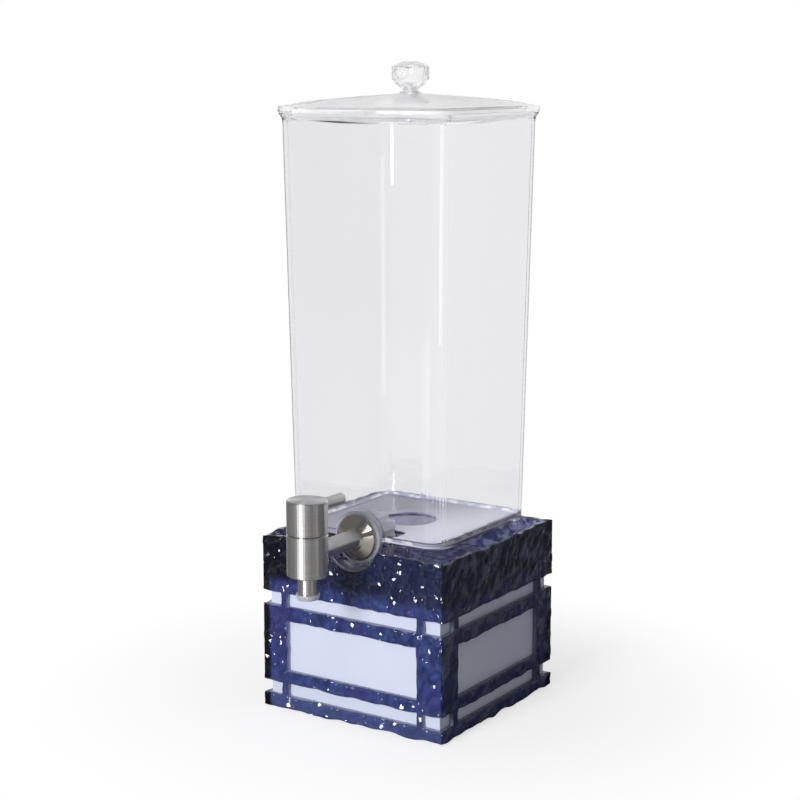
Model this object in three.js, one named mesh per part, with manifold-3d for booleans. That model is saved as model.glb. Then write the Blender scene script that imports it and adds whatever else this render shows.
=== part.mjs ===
// Drink dispenser tower: a clear moulded tank on a square base of hammered blue acrylic,
// with a quarter-turn steel tap and a lid with a cut-crystal knob.
// Millimetres, +Z up, front at -Y. The origin is the middle of the base's underside.
import * as THREE from 'three';
import { mergeVertices } from 'three/addons/utils/BufferGeometryUtils.js';
import { ConvexGeometry } from 'three/addons/geometries/ConvexGeometry.js';
import Module from 'manifold-3d';

const wasm = await Module();
wasm.setup();

// Driving dimensions of the base
const baseWidth = 200;
const baseHeight = 166;
const plateThickness = 6.5;
const bandHeight = 13;
const slotHeight = 13;
const lowerRailHeight = 11.6;
const windowHeight = 48.5;
const upperRailHeight = 13.4;
const cornerNotch = 22.2;
const postWidth = 6.2;
const panelThickness = 3;
const floorPlateThickness = 4;
const deckThickness = 5;
const deckDepth = 36;
const tapNotchRoom = 5.5;

// Driving dimensions of the tank
const tankHeight = 420;
const tankFootRoom = 13.35;
const tankDraft = 13.7;
const tankWall = 3;
const tankCornerRadius = 16;
const rimFlareHeight = 8;
const rimFlareReach = 3.5;
const tankFloorRise = 39;
const tankFloorThickness = 4;
const coveHeight = 5;
const coasterDiameter = 51;
const coasterDepth = 1.5;
const sumpSideRoom = 8;
const sumpEndRoom = 4.6;
const sumpFloorRoom = 3.5;
const sumpCornerRadius = 8;
const sumpWall = 2.5;
const bossBorder = 2;
const bossProud = 1.2;

// Driving dimensions of the lid and its knob
const lidOverhang = 0.5;
const lidEdgeHeight = 6.3;
const lidEdgeRound = 2;
const lidCrownHeight = 10.2;
const lidWall = 3;
const lidRimWidth = 11;
const lidHollowStep = 3;
const lipDepth = 8;
const lipWall = 2.2;
const lipClearance = 0.7;
const crownSeatBorder = 3;
const knobDiameter = 34.4;
const knobTableDiameter = 13;
const knobCrownHeight = 5;
const knobGirdleHeight = 10;
const knobPavilionHeight = 10;
const knobNeckDiameter = 13.5;
const knobNeckHeight = 1.4;
const knobFootDiameter = 20;
const knobFootHeight = 1.9;
const knobFacets = 8;
const insertDiameter = 7;
const insertLength = 12;
const screwDiameter = 4;
const screwHeadDiameter = 8;
const screwHeadHeight = 2.8;
const screwSlotWidth = 1;
const screwSlotDepth = 1;
const screwEndRoom = 1;
const washerDiameter = 16;
const washerThickness = 1.2;

// Driving dimensions of the tap
const tapAboveBase = 8;
const tapReach = 80.7;
const barrelDiameter = 36.3;
const bodyBelowAxis = 17.5;
const bodyAboveAxis = 19.5;
const capHeight = 29.7;
const seamGap = 0.5;
const seamChamfer = 0.7;
const edgeChamfer = 0.8;
const neckShoulder = 0.5;
const neckBore = 10;
const flangeInset = 3;
const flangeEdge = 3.2;
const flangeCone = 3.5;
const flangeHubShoulder = 2.5;
const flangeChamfer = 1;
const hubChamfer = 1.5;
const stemDiameter = 16;
const stemPastNut = 2;
const gasketDiameter = 48;
const gasketThickness = 3.6;
const innerGasketInset = 4;
const innerGasketThickness = 3.4;
const nutInset = 2;
const nutLength = 24.5;
const nutFlutes = 8;
const nutFluteRadius = 5;
const nutFluteDepth = 2;
const outletDiameter = 17.5;
const outletLength = 19.9;
const outletBore = 9;
const spigotShoulder = 1.75;
const spigotLength = 5.5;
const tipTopWall = 1.9;
const tipBottomWall = 0.6;
const tipFloor = 1.1;
const tipLip = 1;
const tipOverlap = 3.4;
const leverDiameter = 10;
const leverLength = 33.2;
const leverDrop = 8.6;
const leverStudDiameter = 5;
const leverSeatDepth = 1.5;
const sleeveWall = 3.5;
const sleeveFloor = 2;
const plugDiameter = 14;
const plugPlay = 0.2;
const portDiameter = 8;
const spindleDiameter = 8;
const glandHeight = 7;
const glandRecess = 1;
const ringSection = 1.8;
const outletRingSection = 1;
const spindlePastLever = 3;

// Fits and finish
const fit = 0.3;
const screwFit = 0.5;
const overrun = 2;
const roundSides = 48;
const smallSides = 32;
const fluteSides = 16;
const ringSides = 8;
const cornerSteps = 7;

// Widths and diameters that follow from what they fit
const windowWidth = baseWidth - 2 * (cornerNotch + postWidth);
const tankFootWidth = baseWidth - 2 * (plateThickness + tankFootRoom);
const tankTopWidth = tankFootWidth + tankDraft;
const tankRimWidth = tankTopWidth + 2 * rimFlareReach;
const lidWidth = tankRimWidth + 2 * lidOverhang;
const lidCornerRadius = tankCornerRadius + rimFlareReach + lidOverhang;
const crownSeatDiameter = knobFootDiameter + 2 * crownSeatBorder;
const flangeDiameter = gasketDiameter - 2 * flangeInset;
const innerGasketDiameter = gasketDiameter - 2 * innerGasketInset;
const nutDiameter = innerGasketDiameter - 2 * nutInset;
const bossDiameter = gasketDiameter + 2 * bossBorder;
const tapNotchRadius = gasketDiameter / 2 + tapNotchRoom;
const sumpWidth = innerGasketDiameter + 2 * sumpSideRoom;
const neckDiameter = stemDiameter + 2 * neckShoulder;
const flangeHubDiameter = neckDiameter + 2 * flangeHubShoulder;
const spigotDiameter = outletDiameter - 2 * spigotShoulder;
const tipTopDiameter = outletDiameter + 2 * tipTopWall;
const tipBottomDiameter = outletDiameter + 2 * tipBottomWall;
const sleeveBore = plugDiameter + 2 * plugPlay;
const chamberDiameter = sleeveBore + 2 * (sleeveWall + fit);
const squareShare = 0.7;
const spindleSquare = spindleDiameter * squareShare;

// Heights, from the table up
const lowerSlotBottom = bandHeight;
const frameBottom = lowerSlotBottom + slotHeight;
const windowBottom = frameBottom + lowerRailHeight;
const windowTop = windowBottom + windowHeight;
const frameTop = windowTop + upperRailHeight;
const deckTop = baseHeight - deckDepth;
const deckBottom = deckTop - deckThickness;
const tankFoot = deckTop + fit;
const tankTop = tankFoot + tankHeight;
const tankFloorBottom = tankFoot + tankFloorRise;
const tankFloorTop = tankFloorBottom + tankFloorThickness;
const tapAxisZ = baseHeight + tapAboveBase;
const sumpFloor = tapAxisZ - innerGasketDiameter / 2 - sumpFloorRoom;
const sumpBottom = sumpFloor - sumpWall;
const lidBottom = tankTop + fit;
const lidEdgeTop = lidBottom + lidEdgeHeight;
const lidCrown = lidEdgeTop + lidCrownHeight;

// Places along Y through the tap, from the tank's wall to the barrel
const bossFace = -(tankHalfWidth(tapAxisZ) + bossProud);
const gasketFront = bossFace - fit - gasketThickness;
const flangeBack = gasketFront - fit;
const flangeFront = flangeBack - flangeEdge;
const barrelY = -(tankHalfWidth(tapAxisZ) + tapReach);
const innerSeat = bossFace + bossProud + tankWall + fit;
const innerGasketBack = innerSeat + fit + innerGasketThickness;
const nutFront = innerGasketBack + fit;
const nutBack = nutFront + nutLength;
const stemEnd = nutBack + stemPastNut;
const sumpFront = -tankHalfWidth(sumpBottom) + tankWall;
const sumpReach = stemEnd + sumpEndRoom - sumpFront;

// Heights in the barrel
const bodyBottom = tapAxisZ - bodyBelowAxis;
const bodyTop = tapAxisZ + bodyAboveAxis;
const capBottom = bodyTop + seamGap;
const capTop = capBottom + capHeight;
const leverZ = capTop - leverDrop;
const chamberFloor = bodyBottom + spigotLength + edgeChamfer;
const sleeveBottom = chamberFloor + fit;
const glandTop = bodyTop - glandRecess;
const glandBottom = glandTop - glandHeight;
const ringZ = glandBottom - fit - ringSection / 2;
const sleeveTop = ringZ - ringSection / 2 - fit;
const plugBottom = sleeveBottom + sleeveFloor + fit;
const plugTop = sleeveTop;
const spindleTop = leverZ + spindlePastLever;

// Half of the tank's outer width at a height
function tankHalfWidth(z) {
  const share = (z - tankFoot) / tankHeight;
  return (tankFootWidth + (tankTopWidth - tankFootWidth) * share) / 2;
}

// A closed solid from a geometry, with its faces turned outwards
function solid(geometry) {
  geometry.deleteAttribute('normal');
  geometry.deleteAttribute('uv');
  const merged = mergeVertices(geometry);
  const points = merged.attributes.position.array;
  const index = merged.index.array;
  const faces = [];
  for (let i = 0; i < index.length; i += 3) {
    const [a, b, c] = [index[i], index[i + 1], index[i + 2]];
    if (a !== b && b !== c && a !== c) faces.push([a, b, c]);
  }
  const corner = (i) => new THREE.Vector3().fromArray(points, 3 * i);
  let volume = 0;
  for (const [a, b, c] of faces) volume += corner(a).dot(corner(b).cross(corner(c)));
  const turned = volume < 0 ? faces.map(([a, b, c]) => [a, c, b]) : faces;
  const mesh = new wasm.Mesh({
    numProp: 3,
    vertProperties: new Float32Array(points),
    triVerts: new Uint32Array(turned.flat()),
  });
  return new wasm.Manifold(mesh);
}

function geometryOf(body) {
  const mesh = body.getMesh();
  const geometry = new THREE.BufferGeometry();
  geometry.setAttribute('position', new THREE.BufferAttribute(mesh.vertProperties, 3));
  geometry.setIndex(new THREE.BufferAttribute(mesh.triVerts, 1));
  geometry.computeVertexNormals();
  return geometry;
}

// Solids of simple form
function box(x0, x1, y0, y1, z0, z1) {
  const geometry = new THREE.BoxGeometry(x1 - x0, y1 - y0, z1 - z0);
  geometry.translate((x0 + x1) / 2, (y0 + y1) / 2, (z0 + z1) / 2);
  return solid(geometry);
}

// A turned solid about +Z from [radius, z] points that start and end on the axis
function turned(profile, sides = roundSides) {
  const points = profile.map(([r, z]) => new THREE.Vector2(r, z));
  const geometry = new THREE.LatheGeometry(points, sides);
  geometry.rotateX(Math.PI / 2);
  return solid(geometry);
}

function rod(radius, z0, z1, sides = roundSides) {
  return turned([[0, z0], [radius, z0], [radius, z1], [0, z1]], sides);
}

function ring(radius, section, z) {
  const circle = new THREE.TorusGeometry(radius, section / 2, ringSides, smallSides);
  circle.translate(0, 0, z);
  return solid(circle);
}

// Points of a square with rounded corners, anticlockwise from above
function roundedSquare(half, radius, z, halfY = half) {
  const points = [];
  const signs = [[1, 1], [-1, 1], [-1, -1], [1, -1]];
  signs.forEach(([sx, sy], quarter) => {
    for (let step = 0; step <= cornerSteps; step += 1) {
      const angle = (quarter + step / cornerSteps) * Math.PI / 2;
      const x = sx * (half - radius) + radius * Math.cos(angle);
      const y = sy * (halfY - radius) + radius * Math.sin(angle);
      points.push(new THREE.Vector3(x, y, z));
    }
  });
  return points;
}

// A closed solid through rings of equal count, from the lowest to the highest
function loft(rings) {
  const count = rings[0].length;
  const middle = (points) => points.reduce((sum, p) => sum.add(p), new THREE.Vector3())
    .divideScalar(points.length);
  const all = [...rings.flat(), middle(rings[0]), middle(rings[rings.length - 1])];
  const low = rings.length * count;
  const index = [];
  for (let i = 0; i < count; i += 1) {
    const next = (i + 1) % count;
    for (let k = 0; k + 1 < rings.length; k += 1) {
      const [a, b] = [k * count + i, k * count + next];
      index.push(a, b, b + count, a, b + count, a + count);
    }
    const top = (rings.length - 1) * count;
    index.push(low, next, i, low + 1, top + i, top + next);
  }
  const geometry = new THREE.BufferGeometry();
  const positions = all.flatMap((point) => point.toArray());
  geometry.setAttribute('position', new THREE.Float32BufferAttribute(positions, 3));
  geometry.setIndex(index);
  return solid(geometry);
}

// Places in the tap: a turned solid laid along +Y on the tap's axis, or stood on the barrel's axis
function onTapAxis(body) {
  return body.rotate([-90, 0, 0]).translate([0, 0, tapAxisZ]);
}

function onBarrel(body) {
  return body.translate([0, barrelY, 0]);
}

// Materials
const hammeredBlue = { color: 0x262a5e, roughness: 0.12, metalness: 0 };
const opalWhite = { color: 0xe6e8f6, roughness: 0.35, metalness: 0 };
const clearPlastic = { color: 0xe9e9f0, roughness: 0.04, metalness: 0, transparent: true, opacity: 0.3 };
const crystal = { color: 0xf2f2f5, roughness: 0.02, metalness: 0, transparent: true, opacity: 0.45 };
const brushedSteel = { color: 0xa9a39d, roughness: 0.3, metalness: 1 };
const softClear = { color: 0xdcdde4, roughness: 0.45, metalness: 0, transparent: true, opacity: 0.7 };
const brass = { color: 0xb9973f, roughness: 0.3, metalness: 1 };
const whiteSeal = { color: 0xf1f0ea, roughness: 0.5, metalness: 0 };
const blackSeal = { color: 0x1b1b1c, roughness: 0.7, metalness: 0 };

const dispenser = new THREE.Group();

function add(name, body, look) {
  const mesh = new THREE.Mesh(geometryOf(body), new THREE.MeshStandardMaterial(look));
  mesh.name = name;
  dispenser.add(mesh);
}

// Base: four mitred side plates, each with a window, two slots and open corners
function mitredPanel(outer, thickness, z0, z1) {
  const inner = outer - thickness;
  const outline = new THREE.Shape();
  outline.moveTo(-outer + fit / 2, -outer);
  outline.lineTo(outer - fit / 2, -outer);
  outline.lineTo(inner - fit / 2, -inner);
  outline.lineTo(-inner + fit / 2, -inner);
  const geometry = new THREE.ExtrudeGeometry(outline, { depth: z1 - z0, bevelEnabled: false });
  geometry.translate(0, 0, z0);
  return solid(geometry);
}

function sidePlate() {
  const outer = baseWidth / 2;
  const [y0, y1] = [-outer - overrun, -outer + plateThickness + overrun];
  const halfWindow = windowWidth / 2;
  const neck = outer - cornerNotch;
  const blank = mitredPanel(outer, plateThickness, 0, baseHeight);
  let plate = blank.subtract(box(-halfWindow, halfWindow, y0, y1, windowBottom, windowTop));
  for (const bottom of [lowerSlotBottom, frameTop]) {
    const top = bottom + slotHeight;
    plate = plate.subtract(box(-halfWindow, halfWindow, y0, y1, bottom, top));
    plate = plate.subtract(box(-outer - overrun, -neck, y0, y1, bottom, top));
    plate = plate.subtract(box(neck, outer + overrun, y0, y1, bottom, top));
  }
  return plate;
}

// The front plate's top edge is cut round below the tap's flange
function tapNotch() {
  const depth = plateThickness + 2 * overrun;
  const hole = rod(tapNotchRadius, 0, depth).rotate([-90, 0, 0]);
  return hole.translate([0, -baseWidth / 2 - overrun, tapAxisZ]);
}

// The opal box, its floor and the deck fit inside the side plates
const insideHalf = baseWidth / 2 - plateThickness - fit;

function squarePlate(z0, z1) {
  return box(-insideHalf, insideHalf, -insideHalf, insideHalf, z0, z1);
}

const plate = sidePlate();
add('side_plate_front', plate.subtract(tapNotch()), hammeredBlue);
add('side_plate_right', plate.rotate([0, 0, 90]), hammeredBlue);
add('side_plate_back', plate.rotate([0, 0, 180]), hammeredBlue);
add('side_plate_left', plate.rotate([0, 0, 270]), hammeredBlue);
const panel = mitredPanel(insideHalf, panelThickness, floorPlateThickness + fit, deckBottom - fit);
add('opal_panel_front', panel, opalWhite);
add('opal_panel_right', panel.rotate([0, 0, 90]), opalWhite);
add('opal_panel_back', panel.rotate([0, 0, 180]), opalWhite);
add('opal_panel_left', panel.rotate([0, 0, 270]), opalWhite);
add('base_floor', squarePlate(0, floorPlateThickness), opalWhite);
add('base_deck', squarePlate(deckBottom, deckTop), hammeredBlue);

// Tank: a drafted shell with a flared rim, a raised floor with a round coaster recess,
// and a sump behind the tap hole so that the tank drains to the last drop
function tankSection(z, inset) {
  return roundedSquare(tankHalfWidth(z) - inset, tankCornerRadius - inset, z);
}

function tankOutside() {
  const flareSteps = 4;
  const flareStart = tankTop - rimFlareHeight;
  const rings = [tankSection(tankFoot, 0)];
  for (let step = 0; step <= flareSteps; step += 1) {
    const share = step / flareSteps;
    rings.push(tankSection(flareStart + rimFlareHeight * share, -rimFlareReach * share * share));
  }
  return loft(rings);
}

function tankInside() {
  const coveSteps = 4;
  const rings = [];
  for (let step = 0; step <= coveSteps; step += 1) {
    const angle = (step / coveSteps) * Math.PI / 2;
    const inset = coveHeight * (1 - Math.sin(angle));
    rings.push(tankSection(tankFloorTop + coveHeight * (1 - Math.cos(angle)), tankWall + inset));
  }
  rings.push(tankSection(tankTop + overrun, tankWall));
  return loft(rings);
}

// The sump's plan is a rounded rectangle from the front wall's inside towards the middle
function sump(grow, z0, z1) {
  const halfY = sumpReach / 2 + grow;
  const ringAt = (z) => roundedSquare(sumpWidth / 2 + grow, sumpCornerRadius, z, halfY);
  return loft([ringAt(z0), ringAt(z1)]).translate([0, sumpFront + sumpReach / 2, 0]);
}

function tank() {
  const outside = tankOutside();
  const pocket = loft([tankSection(tankFoot - overrun, tankWall), tankSection(tankFloorBottom, tankWall)]);
  const coaster = rod(coasterDiameter / 2, tankFloorTop - coasterDepth, tankFloorTop + overrun);
  const bossLength = tankWall + bossProud;
  const boss = onTapAxis(rod(bossDiameter / 2, bossFace, bossFace + bossLength));
  const hole = onTapAxis(rod(stemDiameter / 2 + screwFit / 2, bossFace - overrun, innerSeat + overrun));
  const spotFace = onTapAxis(rod(innerGasketDiameter / 2 + fit, innerSeat, innerSeat + tankWall));
  const sumpShell = sump(sumpWall, sumpBottom, tankFloorTop).intersect(outside);
  const cavity = tankInside().add(sump(0, sumpFloor, tankFloorTop + overrun));
  return outside.subtract(pocket).add(sumpShell).subtract(cavity).subtract(coaster)
    .add(boss.subtract(cavity)).subtract(spotFace).subtract(hole);
}

add('tank', tank(), clearPlastic);

// Lid: a shallow crown on a flat rim, with a locating lip inside the tank's mouth
const crownCurveShares = { fall: 1.6, shoulder: 0.8 };

function crownHeightAt(share) {
  return (1 - share ** crownCurveShares.fall) ** crownCurveShares.shoulder;
}

function crownRing(half, share, z) {
  const roundShare = lidCornerRadius / (lidWidth / 2);
  const radiusShare = roundShare + (1 - roundShare) * (1 - share) * Math.sqrt(1 - share);
  return roundedSquare(half, half * radiusShare, z);
}

// The crown's rings turn from the rim's rounded square into the knob's round seat
function crownRings(halfWidth, base, rise) {
  const widthShares = [1, 0.86, 0.72, 0.58, 0.44, 0.3];
  const rings = widthShares.map((share) => {
    return crownRing(halfWidth * share, share, base + rise * crownHeightAt(share));
  });
  rings.push(crownRing(crownSeatDiameter / 2, 0, base + rise));
  return rings;
}

function lid() {
  const half = lidWidth / 2;
  const rings = [roundedSquare(half - seamChamfer, lidCornerRadius - seamChamfer, lidBottom)];
  rings.push(roundedSquare(half, lidCornerRadius, lidBottom + seamChamfer));
  const roundSteps = 2;
  for (let step = 0; step < roundSteps; step += 1) {
    const angle = (step / roundSteps) * Math.PI / 2;
    const inset = lidEdgeRound * (1 - Math.cos(angle));
    const z = lidEdgeTop - lidEdgeRound * (1 - Math.sin(angle));
    rings.push(roundedSquare(half - inset, lidCornerRadius - inset, z));
  }
  const outside = loft([...rings, ...crownRings(half - lidEdgeRound, lidEdgeTop, lidCrownHeight)]);
  const hollowBase = lidBottom + lidHollowStep;
  const under = crownRings(half - lidRimWidth, hollowBase, lidCrown - lidWall - hollowBase);
  const mouth = under[0].map((point) => new THREE.Vector3(point.x, point.y, lidBottom - overrun));
  const screwHole = rod(screwDiameter / 2 + screwFit, lidBottom, lidCrown + overrun, smallSides);
  return outside.subtract(loft([mouth, ...under])).add(lidLip()).subtract(screwHole);
}

function lidLip() {
  const half = tankHalfWidth(tankTop - lipDepth) - tankWall - lipClearance;
  const radius = tankCornerRadius - tankWall - lipClearance;
  const [z0, z1] = [lidBottom - lipDepth, lidBottom + lidWall];
  const block = (inset, low, high) => {
    return loft([low, high].map((z) => roundedSquare(half - inset, radius - inset, z)));
  };
  return block(0, z0, z1).subtract(block(lipWall, z0 - overrun, z1 + overrun));
}

add('lid', lid(), clearPlastic);

// Knob: a cut-crystal head on a short waisted foot, with a nylon insert for the screw
const knobBottom = lidCrown + fit;
const knobWaist = knobBottom + knobFootHeight + knobNeckHeight;
const knobGirdle = knobWaist + knobPavilionHeight;
const insertTop = knobBottom + insertLength + fit;

function facetRing(radius, z, count, phaseShare) {
  return Array.from({ length: count }, (_, i) => {
    const angle = ((i + phaseShare) / count) * 2 * Math.PI;
    return new THREE.Vector3(radius * Math.cos(angle), radius * Math.sin(angle), z);
  });
}

// Each facet corner is placed by its share of the belt's radius and of the crown's or pavilion's height
const crownCornerShares = { radius: 0.72, height: 0.62 };
const pavilionCornerShares = { radius: 0.76, height: 0.55 };
const footShares = { edge: 0.4, shoulder: 1.12, waist: 0.92 };

function lidKnob() {
  const belt = knobDiameter / 2;
  const top = knobGirdle + knobGirdleHeight;
  const crownCorner = top + knobCrownHeight * crownCornerShares.height;
  const pavilionCorner = knobGirdle - knobPavilionHeight * pavilionCornerShares.height;
  const points = [
    ...facetRing(knobTableDiameter / 2, top + knobCrownHeight, knobFacets, 0),
    ...facetRing(belt * crownCornerShares.radius, crownCorner, knobFacets, 1 / 2),
    ...facetRing(belt, top, 2 * knobFacets, 0),
    ...facetRing(belt, knobGirdle, 2 * knobFacets, 0),
    ...facetRing(belt * pavilionCornerShares.radius, pavilionCorner, knobFacets, 1 / 2),
    ...facetRing(knobNeckDiameter / 2, knobWaist, knobFacets, 0),
  ];
  const head = solid(new ConvexGeometry(points));
  const [neck, foot] = [knobNeckDiameter / 2, knobFootDiameter / 2];
  const stand = turned([
    [0, knobBottom], [foot, knobBottom], [foot, knobBottom + knobFootHeight * footShares.edge],
    [neck * footShares.shoulder, knobBottom + knobFootHeight], [neck * footShares.waist, knobWaist],
    [0, knobWaist + overrun],
  ]);
  const socket = rod(insertDiameter / 2 + fit, knobBottom - overrun, insertTop, smallSides);
  return head.add(stand).subtract(socket);
}

const crownUnderside = lidCrown - lidWall;
const washerTop = crownUnderside - fit;
const headTop = washerTop - washerThickness - fit;
const screwEnd = insertTop - screwEndRoom;
const screwHeadShares = { flat: 0.7, shoulder: 0.45, slot: 0.6 };

function knobScrew() {
  const [shank, head] = [screwDiameter / 2, screwHeadDiameter / 2];
  const headBottom = headTop - screwHeadHeight;
  const body = turned([
    [0, headBottom], [head * screwHeadShares.flat, headBottom],
    [head, headBottom + screwHeadHeight * screwHeadShares.shoulder],
    [head, headTop], [shank, headTop], [shank, screwEnd], [0, screwEnd],
  ], smallSides);
  const [reach, half] = [head * screwHeadShares.slot, screwSlotWidth / 2];
  const slot = box(-reach, reach, -half, half, headBottom - overrun, headBottom + screwSlotDepth);
  return body.subtract(slot).subtract(slot.rotate([0, 0, 90]));
}

const screwBore = screwDiameter / 2 + fit / 2;
add('lid_knob', lidKnob(), crystal);

function sleeve(diameter, z0, z1) {
  const bore = rod(screwBore, z0 - overrun, z1 + overrun, smallSides);
  return rod(diameter / 2, z0, z1, smallSides).subtract(bore);
}

add('knob_insert', sleeve(insertDiameter, knobBottom + fit, insertTop - fit), softClear);
add('knob_screw', knobScrew(), brushedSteel);
add('knob_washer', sleeve(washerDiameter, washerTop - washerThickness, washerTop), brushedSteel);

// Tap body: the lower half of the barrel, with the valve chamber, the side port and the outlet port
function tapBody() {
  const r = barrelDiameter / 2;
  const outside = turned([
    [0, bodyBottom], [r - edgeChamfer, bodyBottom], [r, bodyBottom + edgeChamfer],
    [r, bodyTop - seamChamfer], [r - seamChamfer, bodyTop], [0, bodyTop],
  ]);
  const chamber = rod(chamberDiameter / 2, chamberFloor, bodyTop + overrun);
  const outlet = rod(spigotDiameter / 2 + fit, bodyBottom - overrun, chamberFloor + overrun, smallSides);
  const side = rod(stemDiameter / 2 + fit, 0, r + overrun).rotate([-90, 0, 0]).translate([0, 0, tapAxisZ]);
  return onBarrel(outside.subtract(chamber).subtract(outlet).subtract(side));
}

// Shank: spigot, neck, coned flange and threaded stem in one turned piece with a through bore
function tapShank() {
  const [neck, stem, bore] = [neckDiameter / 2, stemDiameter / 2, neckBore / 2];
  const spigotStart = barrelY + chamberDiameter / 2 + fit;
  const neckStart = barrelY + barrelDiameter / 2 + fit;
  const coneStart = flangeFront - flangeCone;
  const flange = flangeDiameter / 2;
  const body = turned([
    [0, spigotStart], [stem, spigotStart], [stem, neckStart], [neck, neckStart],
    [neck, coneStart - hubChamfer], [flangeHubDiameter / 2, coneStart],
    [flange - flangeChamfer, flangeFront], [flange, flangeFront + flangeChamfer],
    [flange, flangeBack], [stem, flangeBack],
    [stem, stemEnd - edgeChamfer], [stem - edgeChamfer, stemEnd], [0, stemEnd],
  ]);
  return onTapAxis(body.subtract(rod(bore, spigotStart - overrun, stemEnd + overrun, smallSides)));
}

function washerAt(diameter, y0, y1) {
  const bore = rod(stemDiameter / 2 + screwFit / 2, y0 - overrun, y1 + overrun);
  return onTapAxis(rod(diameter / 2, y0, y1).subtract(bore));
}

// The nut's grip has round flutes that stop short of its seating collar
function lockNut() {
  const collarShare = 0.2;
  const fluteStart = nutFront + nutLength * collarShare;
  const reach = nutDiameter / 2 + nutFluteRadius - nutFluteDepth;
  let body = rod(nutDiameter / 2, nutFront, nutBack);
  for (let i = 0; i < nutFlutes; i += 1) {
    const angle = (i / nutFlutes) * 2 * Math.PI;
    const flute = rod(nutFluteRadius, fluteStart, nutBack + overrun, fluteSides);
    body = body.subtract(flute.translate([reach * Math.cos(angle), reach * Math.sin(angle), 0]));
  }
  const bore = rod(stemDiameter / 2 + screwFit / 2, nutFront - overrun, nutBack + overrun);
  return onTapAxis(body.subtract(bore));
}

add('tap_body', tapBody(), brushedSteel);
add('tap_shank', tapShank(), brushedSteel);
add('outer_gasket', washerAt(gasketDiameter, gasketFront, gasketFront + gasketThickness), softClear);
add('inner_gasket', washerAt(innerGasketDiameter, innerSeat + fit, innerGasketBack), softClear);
add('lock_nut', lockNut(), softClear);

// Outlet: a tube that screws into the body from below, with a soft collar on its end
const outletTop = bodyBottom - fit;
const outletEnd = outletTop - outletLength;
const spigotTop = outletTop + spigotLength;
const outletRingZ = outletTop + spigotLength / 2;

function outletTube() {
  const [tube, spigot] = [outletDiameter / 2, spigotDiameter / 2];
  const groove = spigot - outletRingSection - fit;
  const lip = outletRingSection / 2 + fit;
  const body = turned([
    [0, outletEnd], [tube - edgeChamfer / 2, outletEnd], [tube, outletEnd + edgeChamfer / 2],
    [tube, outletTop], [spigot, outletTop], [spigot, outletRingZ - lip], [groove, outletRingZ - lip],
    [groove, outletRingZ + lip], [spigot, outletRingZ + lip], [spigot, spigotTop], [0, spigotTop],
  ], smallSides);
  return onBarrel(body.subtract(rod(outletBore / 2, outletEnd - overrun, spigotTop + overrun, smallSides)));
}

function nozzleTip() {
  const [top, bottom] = [tipTopDiameter / 2, tipBottomDiameter / 2];
  const tipTop = outletEnd + tipOverlap;
  const tipBottom = outletEnd - tipFloor;
  const profile = [[0, tipBottom], [bottom, tipBottom], [top, tipTop - tipLip], [top, tipTop], [0, tipTop]];
  const socket = rod(outletDiameter / 2 + fit, outletEnd - fit, tipTop + overrun, smallSides);
  const bore = rod(outletBore / 2, tipBottom - overrun, tipTop, smallSides);
  return onBarrel(turned(profile, smallSides).subtract(socket).subtract(bore));
}

const outletRing = ring((spigotDiameter - outletRingSection) / 2, outletRingSection, outletRingZ);
add('outlet_tube', outletTube(), brushedSteel);
add('outlet_o_ring', onBarrel(outletRing), blackSeal);
add('nozzle_tip', nozzleTip(), softClear);

// Valve: a plug with an L-shaped passage turns in a fixed sleeve below a gland nut
function valveSleeve() {
  const outside = rod(chamberDiameter / 2 - fit, sleeveBottom, sleeveTop);
  const seat = rod(sleeveBore / 2, sleeveBottom + sleeveFloor, sleeveTop + overrun);
  const drain = rod(portDiameter / 2, sleeveBottom - overrun, sleeveTop, smallSides);
  const side = rod(portDiameter / 2, 0, chamberDiameter, smallSides);
  const port = side.rotate([-90, 0, 0]).translate([0, 0, tapAxisZ]);
  return onBarrel(outside.subtract(seat).subtract(drain).subtract(port));
}

function valvePlug() {
  const [plug, spindle] = [plugDiameter / 2, spindleDiameter / 2];
  const squareStart = capBottom + fit;
  const body = turned([
    [0, plugBottom], [plug, plugBottom], [plug, plugTop], [spindle, plugTop], [spindle, squareStart],
    [0, squareStart],
  ]);
  const half = spindleSquare / 2;
  const square = box(-half, half, -half, half, squareStart - overrun, spindleTop);
  const drain = rod(portDiameter / 2, plugBottom - overrun, tapAxisZ, smallSides);
  const side = rod(portDiameter / 2, 0, plugDiameter, smallSides);
  const port = side.rotate([0, 90, 0]).translate([0, 0, tapAxisZ]);
  return onBarrel(body.add(square).subtract(drain).subtract(port));
}

function glandNut() {
  const outside = rod(chamberDiameter / 2 - fit, glandBottom, glandTop);
  const bore = rod(spindleDiameter / 2 + fit, glandBottom - overrun, glandTop + overrun);
  return onBarrel(outside.subtract(bore));
}

add('valve_sleeve', valveSleeve(), whiteSeal);
add('valve_plug', valvePlug(), brass);
add('gland_nut', glandNut(), brass);
const spindleRing = ring(spindleDiameter / 2 + fit + ringSection / 2, ringSection, ringZ);
add('spindle_o_ring', onBarrel(spindleRing), blackSeal);

// Handle: the barrel's upper half turns on the spindle's square, and the lever pin clamps it there
function handleCap() {
  const r = barrelDiameter / 2;
  const outside = turned([
    [0, capBottom], [r - seamChamfer, capBottom], [r, capBottom + seamChamfer],
    [r, capTop - edgeChamfer], [r - edgeChamfer, capTop], [0, capTop],
  ]);
  const half = spindleSquare / 2 + fit;
  const socket = box(-half, half, -half, half, capBottom - overrun, spindleTop + fit);
  const relief = rod(spindleDiameter / 2 + 2 * fit, capBottom - overrun, capBottom + 2 * fit, smallSides);
  const stud = rod(leverStudDiameter / 2 + fit, 0, r + overrun, smallSides);
  const seat = rod(leverDiameter / 2 + fit, r - leverSeatDepth, r + overrun, smallSides);
  const cross = stud.add(seat).rotate([-90, 0, 0]).translate([0, 0, leverZ]);
  return onBarrel(outside.subtract(socket).subtract(relief).subtract(cross));
}

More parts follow.
